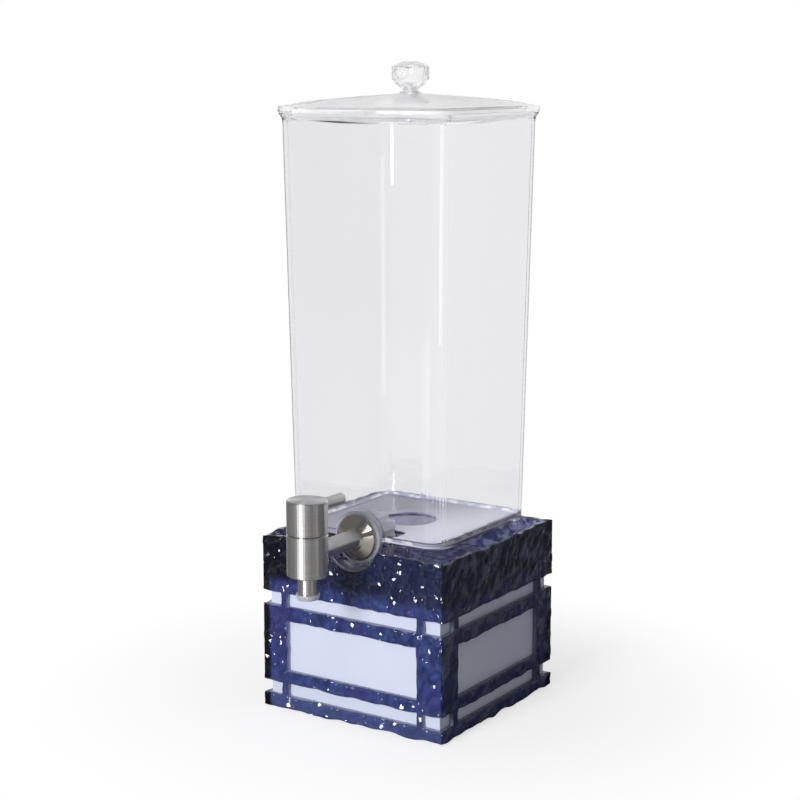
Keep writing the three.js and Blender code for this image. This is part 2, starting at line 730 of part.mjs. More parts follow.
function leverPin() {
  const r = leverDiameter / 2;
  const start = spindleSquare / 2 + fit;
  const shoulder = barrelDiameter / 2 - leverSeatDepth + fit;
  const end = barrelDiameter / 2 + leverLength;
  const body = turned([
    [0, start], [leverStudDiameter / 2, start], [leverStudDiameter / 2, shoulder], [r, shoulder],
    [r, end - edgeChamfer], [r - edgeChamfer, end], [0, end],
  ], smallSides);
  return onBarrel(body.rotate([-90, 0, 0]).translate([0, 0, leverZ]));
}

add('handle_cap', handleCap(), brushedSteel);
add('lever_pin', leverPin(), brushedSteel);

export default dispenser;
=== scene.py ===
"""A drink dispenser: a clear tank with a crowned lid on a square base of hammered blue acrylic,
with opal windows and a quarter-turn steel tap. Metres, +Z up, front at -Y."""
import math

import bmesh
import bpy
import numpy as np
from mathutils import Matrix, Vector, noise


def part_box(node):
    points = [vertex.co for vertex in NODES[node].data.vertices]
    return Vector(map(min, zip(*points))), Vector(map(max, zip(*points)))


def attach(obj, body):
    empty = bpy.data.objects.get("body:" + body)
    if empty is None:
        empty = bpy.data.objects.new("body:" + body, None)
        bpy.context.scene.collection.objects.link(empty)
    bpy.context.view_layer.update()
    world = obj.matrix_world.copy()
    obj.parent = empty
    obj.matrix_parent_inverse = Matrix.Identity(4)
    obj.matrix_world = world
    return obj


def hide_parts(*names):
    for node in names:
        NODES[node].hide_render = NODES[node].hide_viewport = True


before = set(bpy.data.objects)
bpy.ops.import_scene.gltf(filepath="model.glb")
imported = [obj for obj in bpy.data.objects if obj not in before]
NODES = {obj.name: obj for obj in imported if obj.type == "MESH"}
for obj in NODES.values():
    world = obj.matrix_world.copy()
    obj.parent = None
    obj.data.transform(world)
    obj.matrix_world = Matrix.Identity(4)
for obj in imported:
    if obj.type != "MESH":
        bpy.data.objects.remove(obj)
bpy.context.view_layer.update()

# Sizes of the base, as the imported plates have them
PLATE_HALF = 0.1
PLATE_THICK = 0.0065
PLATE_TOP = 0.166
MITRE_GAP = 0.00015
NOTCH_EDGE = 0.0778
WINDOW_HALF = 0.0716
SLOTS = ((0.013, 0.026), (0.0995, 0.1125))
WINDOW = (0.0376, 0.0861)
TAP_AXIS_Z = 0.174
TAP_NOTCH_RADIUS = 0.0295
PANEL_TOP = 0.1247

# The tank's raised floor and its round recess
FLOOR_TOP = 0.1733
FLOOR_BAND = 0.0012
RECESS_RADIUS = 0.0255
LID_BOTTOM = 0.5508

# The barrel's axis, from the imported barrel
BARREL_LOW, BARREL_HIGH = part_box("tap_body")
BARREL_AXIS = ((BARREL_LOW.x + BARREL_HIGH.x) / 2, (BARREL_LOW.y + BARREL_HIGH.y) / 2)


# Node helpers
def material(name):
    """A new material with its node tree and its Principled shader."""
    made = bpy.data.materials.new(name)
    made.use_nodes = True
    tree = made.node_tree
    shader = next(node for node in tree.nodes if node.type == "BSDF_PRINCIPLED")
    return made, tree, shader


def add_node(tree, kind, inputs=None, **settings):
    """A node with some settings, and some inputs either set or linked."""
    made = tree.nodes.new(kind)
    for key, value in settings.items():
        setattr(made, key, value)
    for key, value in (inputs or {}).items():
        if isinstance(value, bpy.types.NodeSocket):
            tree.links.new(value, made.inputs[key])
        else:
            made.inputs[key].default_value = value
    return made


def join(tree, value, shader, socket):
    tree.links.new(value, shader.inputs[socket])


def maths(tree, operation, first, second=0.0, third=0.0):
    inputs = {0: first, 1: second, 2: third}
    return add_node(tree, "ShaderNodeMath", inputs, operation=operation).outputs[0]


def ramp(tree, value, low, high, to_low=0.0, to_high=1.0):
    """Value carried smoothly from low..high to to_low..to_high."""
    inputs = {"Value": value, 1: low, 2: high, 3: to_low, 4: to_high}
    made = add_node(tree, "ShaderNodeMapRange", inputs, interpolation_type="SMOOTHSTEP")
    return made.outputs["Result"]


def times(tree, *values):
    product = values[0]
    for value in values[1:]:
        product = maths(tree, "MULTIPLY", product, value)
    return product


def mix_colour(tree, share, first, second):
    inputs = {"Factor": share, 6: first, 7: second}
    return add_node(tree, "ShaderNodeMix", inputs, data_type="RGBA").outputs[2]


def object_axes(tree):
    """The object's own coordinates, whole and split into X, Y and Z."""
    place = add_node(tree, "ShaderNodeTexCoord").outputs["Object"]
    split = add_node(tree, "ShaderNodeSeparateXYZ", {0: place})
    return place, split.outputs[0], split.outputs[1], split.outputs[2]


def pattern(tree, place, size, detail=2.0, stretch=(1, 1, 1)):
    """Soft noise whose features are about one size across."""
    mapped = add_node(tree, "ShaderNodeMapping", {"Vector": place, "Scale": stretch})
    inputs = {"Vector": mapped.outputs[0], "Scale": 1 / size, "Detail": detail}
    return add_node(tree, "ShaderNodeTexNoise", inputs).outputs["Fac"]


def bump(tree, shader, height, distance):
    made = add_node(tree, "ShaderNodeBump", {"Height": height, "Distance": distance})
    join(tree, made.outputs[0], shader, "Normal")


# Blue acrylic
# Painted light and shade: the acrylic is drawn opaque, so these colours stand in for what shows through it. BLUE_DEEP
# and BLUE_BRIGHT are used where the lit opal box backs it, NAVY above the box and INK past its ends.
BLUE_DEEP = (0.018, 0.025, 0.098, 1)
BLUE_BRIGHT = (0.041, 0.062, 0.220, 1)
BLUE_PAINTED_FLOOR_LIGHT = (0.10, 0.125, 0.27, 1)
VIOLET = (0.040, 0.034, 0.165, 1)
NAVY = (0.012, 0.017, 0.060, 1)
INK = (0.002, 0.0025, 0.009, 1)
BLUE_CLOUD = 0.03
BLUE_MOTTLE = 0.007
DROP_SIZE = 0.0072
DROP_DEPTH = 0.0009
FACET_CELL = 0.0075
FACET_RADIUS = (0.15, 0.29)
FACET_TURN = 0.26
FRONT_FACETS = (0.288, -0.900, 0.328)
STROKE_SIZE = 0.015
STROKE_SLANT = -0.45
STROKE_PAINTED_REFLECTION = (0.070, 0.082, 0.135, 1)
UPRIGHT_STRETCH = (1, 1, 0.55)
BACKED_FADE = 0.0035
TOP_FADE = 0.006
PAINTED_FLOOR_LIGHT_TOP = 0.05


def faceted(tree, shader, place, facing):
    """Small flat facets between the lumps, which face one way, each a little off it."""
    wobble = add_node(tree, "ShaderNodeTexNoise", {"Vector": place, "Scale": 2.5 / FACET_CELL}).outputs["Color"]
    wobble = add_node(tree, "ShaderNodeVectorMath", {0: wobble, 1: (0.5, 0.5, 0.5)}, operation="SUBTRACT").outputs[0]
    inputs = {0: wobble, 1: (FACET_CELL / 1.6,) * 3, 2: place}
    warped = add_node(tree, "ShaderNodeVectorMath", inputs, operation="MULTIPLY_ADD").outputs[0]
    cells = add_node(tree, "ShaderNodeTexVoronoi", {"Vector": warped, "Scale": 1 / FACET_CELL}).outputs
    own = add_node(tree, "ShaderNodeSeparateXYZ", {0: cells["Color"]}).outputs
    radius = ramp(tree, own[2], 0.0, 1.0, *FACET_RADIUS)
    inside = maths(tree, "LESS_THAN", cells["Distance"], radius)
    off = add_node(tree, "ShaderNodeVectorMath", {0: cells["Color"], 1: (0.5, 0.5, 0.5)}, operation="SUBTRACT")
    inputs = {0: off.outputs[0], 1: (FACET_TURN,) * 3, 2: facing}
    facet = add_node(tree, "ShaderNodeVectorMath", inputs, operation="MULTIPLY_ADD").outputs[0]
    facet = add_node(tree, "ShaderNodeVectorMath", {0: facet}, operation="NORMALIZE").outputs[0]
    normal = shader.inputs["Normal"].links[0].from_socket
    inputs = {"Factor": inside, 4: normal, 5: facet}
    join(tree, add_node(tree, "ShaderNodeMix", inputs, data_type="VECTOR").outputs[1], shader, "Normal")


def hammered_acrylic(name, axis, backed, dark_top, painted_light_share=1.0, painted_strokes=0.0, facing=None):
    """Deep blue acrylic, drawn opaque with painted light and shade: bright where the lit opal box backs it, navy above
    it and inky past its ends.
    """
    made, tree, shader = material(name)
    place, x, y, z = object_axes(tree)
    along = x if axis == "X" else y
    # Painted shade: a share below 1 darkens every colour but ink, for a plate in shade.
    shade = lambda colour: tuple(c * painted_light_share for c in colour[:3]) + (1,)
    # Painted light and shade: bright blue where the lit opal box backs the plate, ink past the box's ends, navy above
    # its top, and ink above it towards the front's left end.
    starts = ramp(tree, along, backed[0] - BACKED_FADE, backed[0])
    ends = ramp(tree, along, backed[1], backed[1] + BACKED_FADE, 1.0, 0.0)
    low = ramp(tree, z, PANEL_TOP - TOP_FADE, PANEL_TOP + TOP_FADE, 1.0, 0.0)
    cloud = pattern(tree, place, BLUE_CLOUD, 3.0, UPRIGHT_STRETCH)
    mottle = pattern(tree, place, BLUE_MOTTLE, 3.0, UPRIGHT_STRETCH)
    light = mix_colour(tree, ramp(tree, mottle, 0.3, 0.7), shade(BLUE_DEEP), shade(BLUE_BRIGHT))
    light = mix_colour(tree, ramp(tree, cloud, 0.5, 0.7, 0.0, 0.7), light, shade(VIOLET))
    # Painted light: paler blue towards the foot, for light from the floor.
    light = mix_colour(tree, ramp(tree, z, 0.0, PAINTED_FLOOR_LIGHT_TOP, 0.4, 0.0), light, shade(BLUE_PAINTED_FLOOR_LIGHT))
    above = ramp(tree, along, dark_top[0], dark_top[1])
    above = times(tree, above, ramp(tree, mottle, 0.3, 0.6, 0.5, 1.0))
    upper = mix_colour(tree, above, INK, shade(NAVY))
    whole = mix_colour(tree, low, upper, light)
    colour = mix_colour(tree, times(tree, starts, ends), INK, whole)
    # Painted reflections: lighter slanted strokes, for the room's light caught by the lumps. The drops' bump is weaker
    # where these strokes are used.
    lean = maths(tree, "ADD", along, times(tree, z, STROKE_SLANT))
    slanted = add_node(tree, "ShaderNodeCombineXYZ", {0: lean, 1: z}).outputs[0]
    painted_stroke = ramp(tree, pattern(tree, slanted, STROKE_SIZE, 2.0, UPRIGHT_STRETCH), 0.48, 0.64, 0.0, painted_strokes)
    colour = mix_colour(tree, painted_stroke, colour, STROKE_PAINTED_REFLECTION)
    join(tree, colour, shader, "Base Color")
    join(tree, ramp(tree, mottle, 0.2, 0.8, 0.03, 0.09), shader, "Roughness")
    shader.inputs["IOR"].default_value = 1.49
    shader.inputs["Specular Tint"].default_value = (0.88, 0.92, 1.0, 1)
    drops = ramp(tree, pattern(tree, place, DROP_SIZE, 0.0, UPRIGHT_STRETCH), 0.44, 0.64)
    bump(tree, shader, drops, DROP_DEPTH * (1 - painted_strokes))
    if facing:
        faceted(tree, shader, place, facing)
    return made


# Polished walls of the plates' openings, painted paler towards the back as light from the opal box
CUT_OUTER = (0.03, 0.04, 0.13, 1)
CUT_INNER_PAINTED_LIGHT = (0.30, 0.33, 0.47, 1)
CUT_GRAIN = 0.009
NOTCH_PAINTED_PALE = (0.30, 0.32, 0.50, 1)
NOTCH_PAINTED_LIGHT = (0.80, 0.82, 0.92, 1)
NOTCH_LINE = (0.0033, 0.0042)


def cut_acrylic(name, painted_light_share=1.0):
    """Blue at the face and painted pale at the back, as light from the opal box. The tap's notch is painted pale and
    white as light, with a dark line along it.
    """
    made, tree, shader = material(name)
    place, x, y, z = object_axes(tree)
    reach = maths(tree, "MAXIMUM", maths(tree, "ABSOLUTE", x), maths(tree, "ABSOLUTE", y))
    depth = maths(tree, "SUBTRACT", PLATE_HALF, reach)
    cloud = maths(tree, "SUBTRACT", pattern(tree, place, CUT_GRAIN, 1.0), 0.5)
    uneven = maths(tree, "ADD", depth, times(tree, cloud, PLATE_THICK / 2))
    # Painted shade: a share below 1 darkens the walls, for a plate in shade.
    outer = tuple(c * painted_light_share for c in CUT_OUTER[:3]) + (1,)
    inner = tuple(c * painted_light_share for c in CUT_INNER_PAINTED_LIGHT[:3]) + (1,)
    colour = mix_colour(tree, ramp(tree, uneven, 0.0, PLATE_THICK), outer, inner)
    # Painted light: the notch's walls are pale lavender outside the dark line and white inside it.
    past_line = maths(tree, "GREATER_THAN", depth, NOTCH_LINE[1])
    notch = mix_colour(tree, past_line, NOTCH_PAINTED_PALE, NOTCH_PAINTED_LIGHT)
    on_line = times(tree, maths(tree, "GREATER_THAN", depth, NOTCH_LINE[0]), maths(tree, "LESS_THAN", depth, NOTCH_LINE[1]))
    notch = mix_colour(tree, on_line, notch, INK)
    in_notch = times(tree, maths(tree, "GREATER_THAN", z, SLOTS[1][1] + 0.02), maths(tree, "LESS_THAN", y, -NOTCH_EDGE))
    in_notch = times(tree, in_notch, maths(tree, "LESS_THAN", maths(tree, "ABSOLUTE", x), TAP_NOTCH_RADIUS))
    join(tree, mix_colour(tree, in_notch, colour, notch), shader, "Base Color")
    join(tree, ramp(tree, cloud, -0.2, 0.2, 0.1, 0.2), shader, "Roughness")
    shader.inputs["IOR"].default_value = 1.49
    return made


LEDGE_DARK = (0.07, 0.08, 0.22, 1)
LEDGE_PAINTED_LIGHT = (0.36, 0.39, 0.60, 1)
LEDGE_LUMP = 0.007
LEDGE_DEPTH = 0.006


def ledge_acrylic():
    """The blue acrylic's inner side and the deck, with painted light: lighter lavender on the lumps, where light from
    the tank runs over them.
    """
    made, tree, shader = material("lavender_blue_acrylic")
    place, _, _, _ = object_axes(tree)
    lumps = pattern(tree, place, LEDGE_LUMP, 1.0)
    join(tree, mix_colour(tree, ramp(tree, lumps, 0.38, 0.68), LEDGE_DARK, LEDGE_PAINTED_LIGHT), shader, "Base Color")
    join(tree, ramp(tree, lumps, 0.3, 0.7, 0.04, 0.1), shader, "Roughness")
    shader.inputs["IOR"].default_value = 1.49
    bump(tree, shader, lumps, LEDGE_DEPTH)
    return made


OPAL_LOW = (0.63, 0.675, 0.825, 1)
OPAL_HIGH = (0.66, 0.705, 0.85, 1)


def opal_acrylic():
    made, tree, shader = material("opal_acrylic_sheet")
    place, _, _, _ = object_axes(tree)
    cloud = ramp(tree, pattern(tree, place, 0.07, 2.0), 0.3, 0.7)
    join(tree, mix_colour(tree, cloud, OPAL_LOW, OPAL_HIGH), shader, "Base Color")
    fine = pattern(tree, place, 0.0011, 2.0)
    join(tree, ramp(tree, fine, 0.3, 0.7, 0.3, 0.4), shader, "Roughness")
    bump(tree, shader, fine, 0.00002)
    return made


# Clear mouldings
FLOOR_MILKY_PAINTED_SHADE = (0.17, 0.17, 0.25, 1)
FLOOR_MILKY_PAINTED_LIGHT = (0.78, 0.78, 0.92, 1)
SEAM_BAND = (0.0004, 0.0026)
SEAM_DASH = 0.012
SEAM_PAINTED_GLINT = (0.95, 0.95, 1.0, 1)
SEAM_DIM = (0.45, 0.46, 0.60, 1)
RECESS_PAINTED_SHADE = (0.24, 0.26, 0.56, 1)
FOOT_TOP = 0.152
FOOT_MILKY = (0.85, 0.87, 1.0, 1)
WAVE_SIZE = 0.11
WAVE_DEPTH = 0.0004
HAZE_THROUGH = 0.3
TANK_PAINTED_LIGHT_RIGHT = (0.94, 0.94, 0.955, 1)
LIGHT_PASSED = 0.85
CUT_SIZE = 0.0055
CUT_DEPTH = 0.0018
HAZE_PASSED = 0.45


def clear_plastic(name, tint, through=1.0, roughness=0.0, index=1.49):
    """Clear moulded plastic with a slow wave in its walls. Returns what a caller needs to add to it."""
    made, tree, shader = material(name)
    place, x, y, z = object_axes(tree)
    wave = pattern(tree, place, WAVE_SIZE, 1.0, (1, 1, 0.25))
    shader.inputs["Transmission Weight"].default_value = through
    shader.inputs["IOR"].default_value = index
    darker = tuple(c * 0.985 for c in tint[:3]) + (1,)
    tone = mix_colour(tree, ramp(tree, wave, 0.3, 0.7), tint, darker)
    join(tree, tone, shader, "Base Color")
    rough = ramp(tree, pattern(tree, place, 0.016, 2.0), 0.3, 0.7, roughness, roughness + 0.02)
    join(tree, rough, shader, "Roughness")
    bump(tree, shader, wave, WAVE_DEPTH)
    let_light_through(tree, shader, LIGHT_PASSED)
    return made


def let_light_through(tree, shader, share):
    """Shadows of a clear part are weak: lamp light goes on through it."""
    shadow = add_node(tree, "ShaderNodeLightPath").outputs["Is Shadow Ray"]
    join(tree, maths(tree, "SUBTRACT", 1.0, times(tree, shadow, share)), shader, "Alpha")


def cut_facets(made):
    """Small ground facets over a crystal."""
    tree = made.node_tree
    shader = next(node for node in tree.nodes if node.type == "BSDF_PRINCIPLED")
    place, _, _, _ = object_axes(tree)
    inputs = {"Vector": place, "Scale": 1 / CUT_SIZE, "Randomness": 0.6}
    cells = add_node(tree, "ShaderNodeTexVoronoi", inputs, feature="F1").outputs["Distance"]
    bump(tree, shader, cells, CUT_DEPTH)
    return made


def clear_lip(made, top):
    """Plain clear plastic below a height, for the lip that stands in the tank's mouth."""
    tree = made.node_tree
    shader = next(node for node in tree.nodes if node.type == "BSDF_PRINCIPLED")
    _, _, _, z = object_axes(tree)
    lip = maths(tree, "LESS_THAN", z, top)
    colour = shader.inputs["Base Color"].links[0].from_socket
    rough = shader.inputs["Roughness"].links[0].from_socket
    through = shader.inputs["Transmission Weight"].default_value
    join(tree, mix_colour(tree, lip, colour, (1, 1, 1, 1)), shader, "Base Color")
    join(tree, times(tree, rough, maths(tree, "SUBTRACT", 1.0, lip)), shader, "Roughness")
    join(tree, ramp(tree, lip, 0.0, 1.0, through, 1.0), shader, "Transmission Weight")
    return made


def tank_plastic():
    """The tank's clear plastic, milky on its raised floor outside the round recess."""
    made = clear_plastic("clear_tank", (0.90, 0.90, 0.92, 1))
    tree = made.node_tree
    shader = next(node for node in tree.nodes if node.type == "BSDF_PRINCIPLED")
    place, x, y, z = object_axes(tree)
    level = maths(tree, "COMPARE", z, FLOOR_TOP, FLOOR_BAND)
    squares = maths(tree, "ADD", times(tree, x, x), times(tree, y, y))
    radius = maths(tree, "SQRT", squares)
    haze = times(tree, level, ramp(tree, radius, RECESS_RADIUS - 0.0003, RECESS_RADIUS + 0.0003))
    # Painted shade and light: the milky floor is darker towards the back left and lighter towards the right and front.
    side = ramp(tree, maths(tree, "SUBTRACT", x, times(tree, y, 0.4)), -0.06, 0.06)
    milk = mix_colour(tree, side, FLOOR_MILKY_PAINTED_SHADE, FLOOR_MILKY_PAINTED_LIGHT)
    clear = shader.inputs["Base Color"].links[0].from_socket
    # Painted light: the clear walls are a little lighter to the right and back.
    right = ramp(tree, maths(tree, "ADD", x, y), -0.02, 0.02)
    clear = mix_colour(tree, right, clear, TANK_PAINTED_LIGHT_RIGHT)
    # Painted shade: the round recess is tinted dark blue, for the dark base seen through it.
    in_recess = times(tree, maths(tree, "LESS_THAN", radius, RECESS_RADIUS), maths(tree, "LESS_THAN", z, FLOOR_TOP))
    clear = mix_colour(tree, in_recess, clear, RECESS_PAINTED_SHADE)
    # Painted highlight: a thin milky band just above the floor's top, in bright and dim dashes, for the light line
    # along the floor's edge.
    painted_glint_line = maths(tree, "SUBTRACT", z, FLOOR_TOP)
    painted_glint_line = times(tree, ramp(tree, painted_glint_line, 0.0, SEAM_BAND[0]), ramp(tree, painted_glint_line, SEAM_BAND[1] - SEAM_BAND[0], SEAM_BAND[1], 1.0, 0.0))
    dashes = ramp(tree, pattern(tree, place, SEAM_DASH, 1.0), 0.45, 0.6)
    milk = mix_colour(tree, painted_glint_line, milk, mix_colour(tree, dashes, SEAM_DIM, SEAM_PAINTED_GLINT))
    foot = times(tree, ramp(tree, z, FOOT_TOP - 0.012, FOOT_TOP, 1.0, 0.0), maths(tree, "LESS_THAN", y, -0.07))
    foot = times(tree, foot, ramp(tree, maths(tree, "ABSOLUTE", x), 0.016, 0.045, 1.0, 0.0))
    milk = mix_colour(tree, foot, milk, FOOT_MILKY)
    haze = maths(tree, "MAXIMUM", haze, maths(tree, "MAXIMUM", painted_glint_line, foot))
    join(tree, mix_colour(tree, haze, clear, milk), shader, "Base Color")
    join(tree, ramp(tree, haze, 0.0, 1.0, 1.0, HAZE_THROUGH), shader, "Transmission Weight")
    let_light_through(tree, shader, ramp(tree, haze, 0.0, 1.0, LIGHT_PASSED, HAZE_PASSED))
    return made


# Metals and soft parts
STEEL_DARK = (0.52, 0.51, 0.505, 1)
STEEL_LIGHT = (0.66, 0.65, 0.645, 1)
STEEL_SHINE = 0.34
STEEL_PAINTED_WARM_REFLECTION = (0.46, 0.425, 0.39, 1)
POLISH_SHARE = 0.4
FLANGE = ((-0.0945, -0.0935), (-0.0862, -0.086))


def turned_steel(name, axis, polished=None):
    """Stainless steel with fine turning lines round an upright or a level axis, and a polished stretch tinted warm
    brown as a painted reflection.
    """
    made, tree, shader = material(name)
    place, x, y, z = object_axes(tree)
    cross = maths(tree, "SUBTRACT", y, BARREL_AXIS[1])
    along = z
    if axis == "Y":
        cross = maths(tree, "SUBTRACT", z, TAP_AXIS_Z)
        along = y
    squares = maths(tree, "ADD", times(tree, x, x), times(tree, cross, cross))
    inputs = {0: maths(tree, "SQRT", squares), 1: along, 2: times(tree, x, 0.02)}
    lines = add_node(tree, "ShaderNodeCombineXYZ", inputs).outputs[0]
    fine = pattern(tree, lines, 0.00035, 3.0)
    broad = pattern(tree, place, 0.02, 2.0)
    colour = mix_colour(tree, ramp(tree, fine, 0.2, 0.8), STEEL_DARK, STEEL_LIGHT)
    rough = ramp(tree, fine, 0.2, 0.8, STEEL_SHINE, STEEL_SHINE + 0.04)
    rough = maths(tree, "ADD", rough, ramp(tree, broad, 0.3, 0.7, 0.0, 0.03))
    if polished:
        # Painted reflection: the polished stretch is tinted warm brown, for the dark brown surroundings that it
        # mirrors.
        bright = times(tree, ramp(tree, along, *polished[0]), ramp(tree, along, *polished[1], 1.0, 0.0))
        colour = mix_colour(tree, bright, colour, STEEL_PAINTED_WARM_REFLECTION)
        rough = times(tree, rough, ramp(tree, bright, 0.0, 1.0, 1.0, POLISH_SHARE))
    join(tree, colour, shader, "Base Color")
    join(tree, rough, shader, "Roughness")
    shader.inputs["Metallic"].default_value = 1.0
    shader.inputs["Anisotropic"].default_value = 0.85
    shader.inputs["Anisotropic Rotation"].default_value = 0.25
    tangent = add_node(tree, "ShaderNodeTangent", direction_type="RADIAL", axis=axis)
    join(tree, tangent.outputs[0], shader, "Tangent")
    bump(tree, shader, fine, 0.000004)
    return made


def translucent(name, colour, through, roughness):
    """Milky rubber or plastic that lets some light through."""
    made, tree, shader = material(name)
    place, _, _, _ = object_axes(tree)
    cloud = ramp(tree, pattern(tree, place, 0.008, 3.0), 0.3, 0.7)
    darker = tuple(c * 0.9 for c in colour[:3]) + (1,)
    join(tree, mix_colour(tree, cloud, darker, colour), shader, "Base Color")
    fine = pattern(tree, place, 0.0007, 2.0)
    join(tree, ramp(tree, fine, 0.3, 0.7, roughness, roughness + 0.1), shader, "Roughness")
    shader.inputs["Transmission Weight"].default_value = through
    shader.inputs["IOR"].default_value = 1.43
    bump(tree, shader, fine, 0.00004)
    return made


def solid_colour(name, dark, light, roughness, metallic=0.0):
    made, tree, shader = material(name)
    place, _, _, _ = object_axes(tree)
    fine = ramp(tree, pattern(tree, place, 0.0014, 3.0), 0.3, 0.7)
    join(tree, mix_colour(tree, fine, dark, light), shader, "Base Color")
    join(tree, ramp(tree, fine, 0.0, 1.0, roughness, roughness + 0.12), shader, "Roughness")
    shader.inputs["Metallic"].default_value = metallic
    bump(tree, shader, fine, 0.00003)
    return made


def dress(look, *nodes):
    for name in nodes:
        NODES[name].material_slots[0].material = look


# Hammered plates: a fine grid with the plate's openings, pressed in between its lumps
GRID_STEP = 0.0011
LAYERS = 4
CORNER_ROUND = 0.0034
EDGE_ROUND = 0.0012
HAMMER_DEPTH = 0.0026
LUMP_WIDTH = 0.0100
LUMP_HEIGHT = 0.0155
LUMP_SLANT = -0.35
TWIST_SIZE = 0.013
TWIST_REACH = 0.0028
SWELL_SIZE = 0.021
DOME_REACH = 0.8
VALLEY_REACH = 0.3
WARP_SIZE = 0.0125
WARP_REACH = 0.0019
WEAR_REACH = 0.003
WEAR_SIZE = 0.017
WEAR_FALL = 0.009
NOTCH_CALM = 0.006
CALM_START = 0.02
FRONT_CALM = 0.35
TINY = 1e-6


def grid_lines(stops):
    """Lines from stop to stop, no further apart than the grid's step."""
    lines = [stops[0]]
    for low, high in zip(stops, stops[1:]):
        count = max(1, math.ceil((high - low) / GRID_STEP - TINY))
        lines += [low + (high - low) * k / count for k in range(1, count + 1)]
    return lines


def hammer(point):
    """How far the surface is pressed in at a point, as a share from 0 on a lump's top to 1."""
    p = point + noise.noise_vector(point / TWIST_SIZE) * TWIST_REACH
    slant = p.z * LUMP_SLANT
    cell = Vector(((p.x + slant) / LUMP_WIDTH, (p.y + slant) / LUMP_WIDTH, p.z / LUMP_HEIGHT))
    distances, _ = noise.voronoi(cell)
    dome = min(1.0, distances[0] / DOME_REACH) ** 2
    valley = max(0.0, 1 - (distances[1] - distances[0]) / VALLEY_REACH) ** 2
    swell = 0.5 + 0.5 * noise.noise(point / SWELL_SIZE)
    return 0.6 * dome + 0.15 * valley + 0.25 * swell


def worn_back(point):
    """How far the plates' top or foot is worn back at a point."""
    return WEAR_REACH * min(1.0, max(0.0, 0.5 + 0.9 * noise.noise(point / WEAR_SIZE)))


def clamped(value):
    return min(1.0, max(0.0, value))


